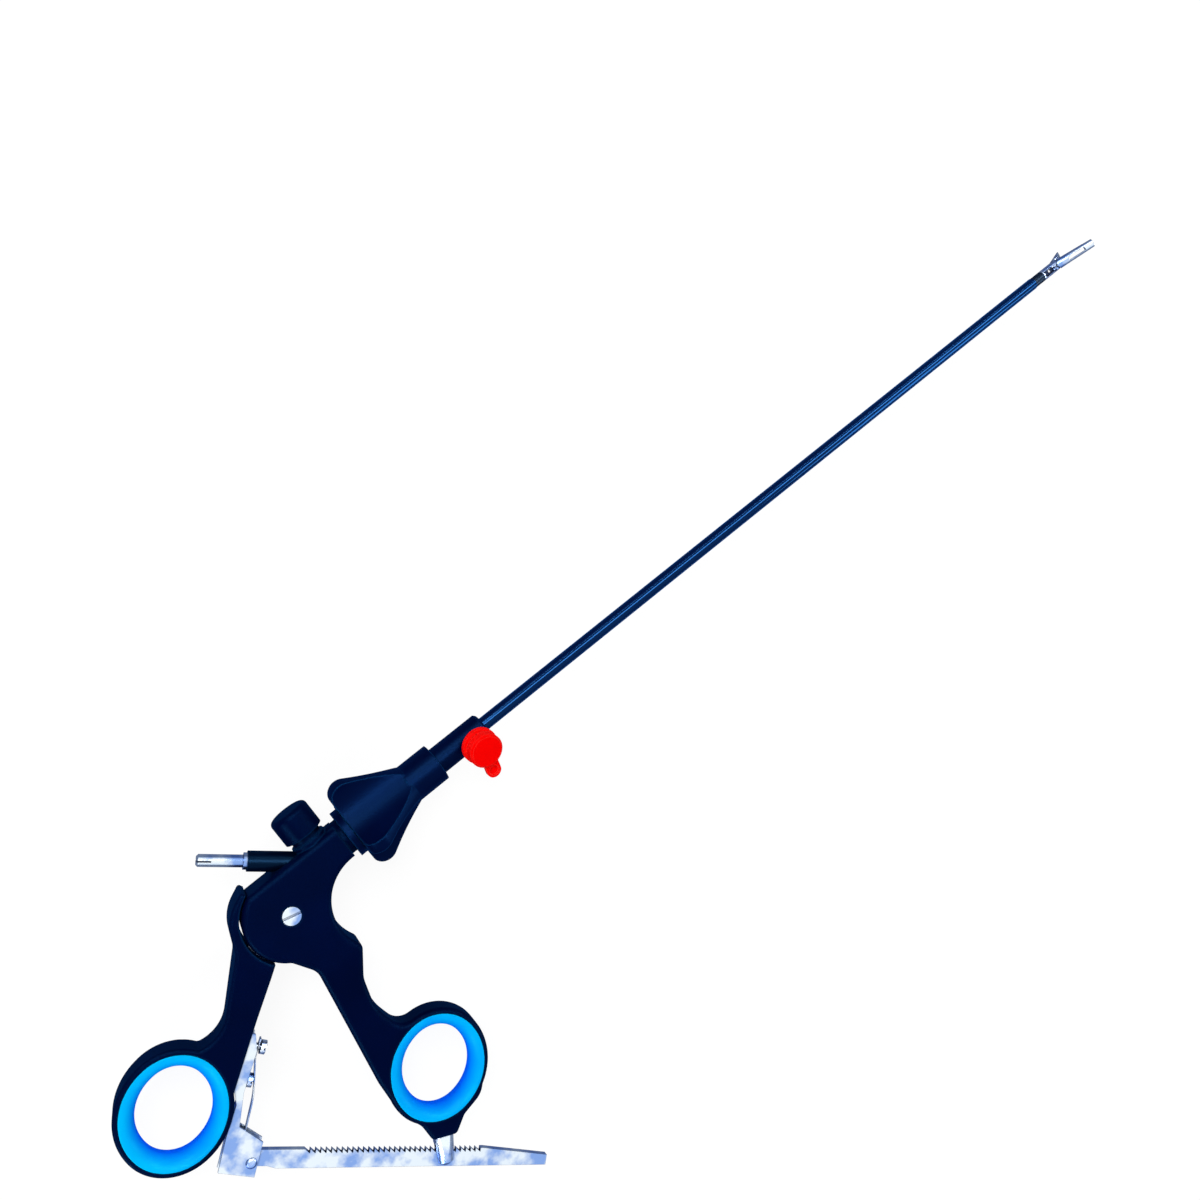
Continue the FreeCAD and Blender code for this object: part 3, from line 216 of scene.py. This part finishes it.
def rescaled(nodes, links, source, was=(0.0, 1.0), becomes=(0.0, 1.0)):
    """A value carried from one span to another, and held at its ends."""
    span = nodes.new("ShaderNodeMapRange")
    span.inputs["From Min"].default_value, span.inputs["From Max"].default_value = was
    span.inputs["To Min"].default_value, span.inputs["To Max"].default_value = becomes
    links.new(source, span.inputs["Value"])
    return span.outputs["Result"]


def noise_on(nodes, links, scale, detail):
    """Noise that is fixed to the piece: the scale is in waves per metre."""
    place = nodes.new("ShaderNodeTexCoord")
    noise = nodes.new("ShaderNodeTexNoise")
    noise.inputs["Scale"].default_value = scale
    noise.inputs["Detail"].default_value = detail
    links.new(place.outputs["Object"], noise.inputs["Vector"])
    return noise.outputs["Fac"]


def near_edges(nodes, links, radius, fall):
    """The normal that rounds sharp edges, and a share that rises from open faces to the edges."""
    edge = nodes.new("ShaderNodeBevel")
    edge.samples = 6
    edge.inputs["Radius"].default_value = radius
    flat = nodes.new("ShaderNodeNewGeometry")
    match = nodes.new("ShaderNodeVectorMath")
    match.operation = "DOT_PRODUCT"
    links.new(edge.outputs["Normal"], match.inputs[0])
    links.new(flat.outputs["Normal"], match.inputs[1])
    return edge.outputs["Normal"], rescaled(nodes, links, match.outputs["Value"], was=(1.0, fall))


def relief(nodes, links, height, normal, strength, depth):
    """The normal of a surface with a fine relief on it, as deep as so many metres."""
    bump = nodes.new("ShaderNodeBump")
    bump.inputs["Strength"].default_value = strength
    bump.inputs["Distance"].default_value = depth
    links.new(height, bump.inputs["Height"])
    links.new(normal, bump.inputs["Normal"])
    return bump.outputs["Normal"]


def moulded(name, colour, dark, painted_edge_highlight, tint, rough, gloss, edge_gloss, grain, bevel, sheen=0.0):
    """Moulded plastic: slow colour drift, fine grain, a painted edge highlight and a tinted gloss.

    The gloss is the share mirrored straight on and the edge gloss that at a glancing angle.
    The sheen lightens the outline of a round piece.
    """
    finish, nodes, links = new_finish(name)
    rounded, edges = near_edges(nodes, links, bevel, fall=0.75)
    drift = noise_on(nodes, links, scale=60.0, detail=3.0)
    pores = noise_on(nodes, links, scale=1500.0, detail=2.0)
    grained = relief(nodes, links, pores, rounded, strength=grain, depth=0.0001)
    drifting_colour = colour_ramp(nodes, links, drift, ((0.3, dark), (0.7, colour)))
    body = nodes["Principled BSDF"]
    body.inputs["Specular IOR Level"].default_value = 0.0
    body.inputs["Roughness"].default_value = 0.8
    body.inputs["Sheen Weight"].default_value = sheen
    body.inputs["Sheen Roughness"].default_value = 0.35
    body.inputs["Sheen Tint"].default_value = (*tint, 1)
    # Painted highlight: the colour turns lighter towards every edge.
    links.new(colour_mix(nodes, links, edges, drifting_colour, painted_edge_highlight), body.inputs["Base Color"])
    coat = nodes.new("ShaderNodeBsdfAnisotropic")
    coat.inputs["Color"].default_value = (*tint, 1)
    coat_rough = rescaled(nodes, links, drift, becomes=(0.9 * rough, 1.1 * rough))
    links.new(coat_rough, coat.inputs["Roughness"])
    slant = nodes.new("ShaderNodeLayerWeight")
    squared = nodes.new("ShaderNodeMath")
    squared.operation = "POWER"
    squared.inputs[1].default_value = 2.0
    links.new(slant.outputs["Facing"], squared.inputs[0])
    for shader in (body, coat, slant):
        links.new(grained, shader.inputs["Normal"])
    coat_share = rescaled(nodes, links, squared.outputs[0], becomes=(gloss, edge_gloss))
    surface = shader_mix(nodes, links, coat_share, body.outputs[0], coat.outputs[0])
    links.new(surface, nodes["Material Output"].inputs["Surface"])
    return finish


def dress(finish, *pieces):
    """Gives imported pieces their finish."""
    for piece in pieces:
        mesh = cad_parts[piece].data
        mesh.materials.clear()
        mesh.materials.append(finish)


navy_nylon = moulded(
    "navy_nylon", colour=(0.0, 0.0006, 0.020), dark=(0.0, 0.0002, 0.013),
    painted_edge_highlight=(0.001, 0.020, 0.075), tint=(0.05, 0.32, 0.80), rough=0.36,
    gloss=0.006, edge_gloss=0.16, grain=0.2, bevel=0.0012)
dress(navy_nylon, "front_handle", "rear_handle")

# Finger ring inserts
# Bright blue soft plastic rings, pressed into a seat in each finger ring from both sides.
# Their inner wall narrows to a smooth throat that the finger slides over.
# The inner wall is painted a deeper blue towards the throat, as painted shade deep in the hole.
azure_soft = moulded(
    "azure_soft_plastic", colour=(0.0, 0.46, 0.93), dark=(0.0, 0.34, 0.93),
    painted_edge_highlight=(0.0, 0.58, 0.95), tint=(0.05, 0.8, 1.0), rough=0.3,
    gloss=0.01, edge_gloss=0.12, grain=0.05, bevel=0.0005)
# Painted shade: the colour darkens to a deeper blue from the lip down to the throat.
throat_height, lip_height = 0.0008, 0.0046
painted_throat_shade = (0.0, 0.11, 0.90)
ring_nodes, ring_links = azure_soft.node_tree.nodes, azure_soft.node_tree.links
lip_paint = next(node for node in ring_nodes if node.bl_idname == "ShaderNodeMix").inputs[6]
where = ring_nodes.new("ShaderNodeTexCoord")
axes = ring_nodes.new("ShaderNodeSeparateXYZ")
from_middle = ring_nodes.new("ShaderNodeMath")
from_middle.operation = "ABSOLUTE"
ring_links.new(where.outputs["Object"], axes.inputs[0])
ring_links.new(axes.outputs["Z"], from_middle.inputs[0])
throat_shade_fade = rescaled(ring_nodes, ring_links, from_middle.outputs[0], was=(throat_height, lip_height))
ring_links.new(colour_mix(ring_nodes, ring_links, throat_shade_fade, painted_throat_shade,
                          lip_paint.links[0].from_socket), lip_paint)
dress(azure_soft, "front_ring_insert", "rear_ring_insert")


# Steel of the handle
# The pivot screw and its sleeve nut, the catch with its fork, the toothed rack and the folded
# bracket are stainless steel, ground and then tumbled to a satin shine.
def satin_steel(name, rough, bevel, hollow, dull=(0.26, 0.42, 0.82), bright=(0.86, 0.94, 1.0)):
    """Stainless steel: clouded tone, fine grinding, painted dark edge lines and painted shade in
    slots and corners.

    The hollow is how wide, in metres, a slot or corner is that still gets painted shade.
    """
    finish, nodes, links = new_finish(name)
    rounded, edges = near_edges(nodes, links, bevel, fall=0.8)
    grinding = noise_on(nodes, links, scale=900.0, detail=3.0)
    clouds = noise_on(nodes, links, scale=130.0, detail=6.0)
    clouded = colour_ramp(nodes, links, clouds, ((0.40, dull), (0.57, bright)))
    # Painted shade: slots, corners and gaps between pieces are darkened in the colour.
    cleft = nodes.new("ShaderNodeAmbientOcclusion")
    cleft.samples = 8
    cleft.inputs["Distance"].default_value = hollow
    openness = rescaled(nodes, links, cleft.outputs["AO"], was=(0.35, 0.85))
    shaded = colour_mix(nodes, links, openness, (0.006, 0.010, 0.03), clouded)
    # Painted shade: a dark line is painted along every edge.
    outlined = colour_mix(nodes, links, edges, shaded, (0.05, 0.09, 0.20))
    body = nodes["Principled BSDF"]
    body.inputs["Metallic"].default_value = 1.0
    links.new(outlined, body.inputs["Base Color"])
    links.new(rescaled(nodes, links, grinding, becomes=(rough - 0.06, rough + 0.08)),
              body.inputs["Roughness"])
    links.new(relief(nodes, links, grinding, rounded, strength=0.15, depth=0.00003),
              body.inputs["Normal"])
    return finish


ground_steel = satin_steel("ground_steel", rough=0.3, bevel=0.0002, hollow=0.0012)
small_steel = satin_steel("small_steel", rough=0.28, bevel=0.0004, hollow=0.002)
dress(ground_steel, "pivot_screw", "pivot_nut", "pivot_bush", "catch_post", "contact_ring",
      "bearing_sleeve", "lever_tongue", "ratchet_bracket", "ratchet_rack", "latch_plate",
      "button_spring")
dress(small_steel, "bracket_screw_upper", "bracket_screw_lower", "ratchet_spring", "rack_rivet")

# The two strip lamps leave out the broad steel, which would mirror them as plain white from above.
broad_steel = bpy.data.collections.new("broad_steel")
for piece in ("ratchet_bracket", "ratchet_rack", "pivot_screw", "pivot_nut",
              "jaw_upper", "jaw_lower", "hf_pin"):
    broad_steel.objects.link(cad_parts[piece])
for entry in broad_steel.collection_objects:
    entry.light_linking.link_state = "EXCLUDE"
for strip in ("strip_above", "strip_beside"):
    bpy.data.objects[strip].light_linking.receiver_collection = broad_steel

# Connector pin
# A turned steel pin for the cable, with a split end that springs in the socket.
# It stands in a black moulded sleeve that leads it through the top of the head.
turned_steel = satin_steel("turned_steel", rough=0.22, bevel=0.0001, hollow=0.0008)
dress(turned_steel, "hf_pin")
black_plastic = moulded(
    "black_plastic", colour=(0.0, 0.002, 0.012), dark=(0.0, 0.001, 0.007),
    painted_edge_highlight=(0.004, 0.02, 0.06), tint=(0.1, 0.4, 0.9), rough=0.3,
    gloss=0.015, edge_gloss=0.15, grain=0.1, bevel=0.0003)
dress(black_plastic, "hf_sleeve")

# Release button
# A domed cap that slides over the guide on top of the head. A coil spring of steel wire stands
# on the guide's floor inside it, pushes it up and is pressed shorter when the button goes down;
# here a copy of the spring with its own mesh is fixed to the handle and keeps its length.
dress(navy_nylon, "release_button")
coil = bpy.data.objects.new("button_coil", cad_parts["button_spring"].data.copy())
scene.collection.objects.link(coil)
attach(coil, "handle")
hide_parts("button_spring")
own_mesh(coil)

# Rotation knob
# A finned knob and the flange behind it, moulded in the same dark blue as the handle, with a
# little more gloss on the flutes that the finger turns it by. The hub inside it is black.
knob_plastic = moulded(
    "navy_knob_plastic", colour=(0.0, 0.0012, 0.022), dark=(0.0, 0.0004, 0.013),
    painted_edge_highlight=(0.001, 0.028, 0.100), tint=(0.05, 0.27, 0.90), rough=0.36,
    gloss=0.013, edge_gloss=0.2, grain=0.35, bevel=0.0008, sheen=0.03)
dress(knob_plastic, "rotation_knob", "neck_flange", "port_neck")
dress(black_plastic, "hub_sleeve")

# Flush port and its cap
# A steel luer nipple in the neck, through which the tube is rinsed. A soft red cap
# with a pull tab is pushed over it and closes it.
dress(turned_steel, "luer_port")
red_rubber = moulded(
    "red_silicone", colour=(0.90, 0.0, 0.0), dark=(0.84, 0.0, 0.0),
    painted_edge_highlight=(1.0, 0.05, 0.04), tint=(1.0, 0.25, 0.2), rough=0.42,
    gloss=0.003, edge_gloss=0.12, grain=0.05, bevel=0.0004)
dress(red_rubber, "luer_cap")

# Shaft
# A steel tube in an insulating sleeve that is shrunk onto it, dark blue and glossy,
# with a shorter band over its end. A black seal inside keeps the tube tight round the rod.
sleeve_gloss = moulded(
    "navy_shrink_sleeve", colour=(0.0, 0.0012, 0.026), dark=(0.0, 0.0006, 0.020),
    painted_edge_highlight=(0.0, 0.06, 0.24), tint=(0.06, 0.33, 1.0), rough=0.09,
    gloss=0.05, edge_gloss=0.25, grain=0.0, bevel=0.00001, sheen=1.0)
dress(sleeve_gloss, "insulation_sleeve")
band_plastic = moulded(
    "charcoal_band", colour=(0.003, 0.006, 0.016), dark=(0.002, 0.004, 0.012),
    painted_edge_highlight=(0.01, 0.03, 0.07), tint=(0.3, 0.5, 0.8), rough=0.3,
    gloss=0.02, edge_gloss=0.2, grain=0.0, bevel=0.00005, sheen=0.05)
dress(band_plastic, "end_band")
dress(turned_steel, "outer_tube")
dress(black_plastic, "rod_seal")

# Jaws and linkage
# The clevis, the two spoon-shaped jaws and the pins are machined from stainless steel and finely
# ground. The rod's end and the toggle links between the ears are painted near-black, as painted
# shade between the ears.
jaw_steel = satin_steel("jaw_steel", rough=0.25, bevel=0.0004, hollow=0.002)
# Painted shade: near-black steel colour on the rod's end and the links stands for the shade
# between the clevis ears.
painted_shade_steel = satin_steel("painted_shade_steel", rough=0.3, bevel=0.0001, hollow=0.0009,
                          dull=(0.01, 0.015, 0.04), bright=(0.05, 0.07, 0.12))
dress(jaw_steel, "clevis", "jaw_upper", "jaw_lower")
dress(painted_shade_steel, "rod_tang", "link_upper", "link_lower")
dress(turned_steel, "pull_rod", "rod_ball", "jaw_pin", "rod_pin",
      "elbow_pin_upper", "elbow_pin_lower")
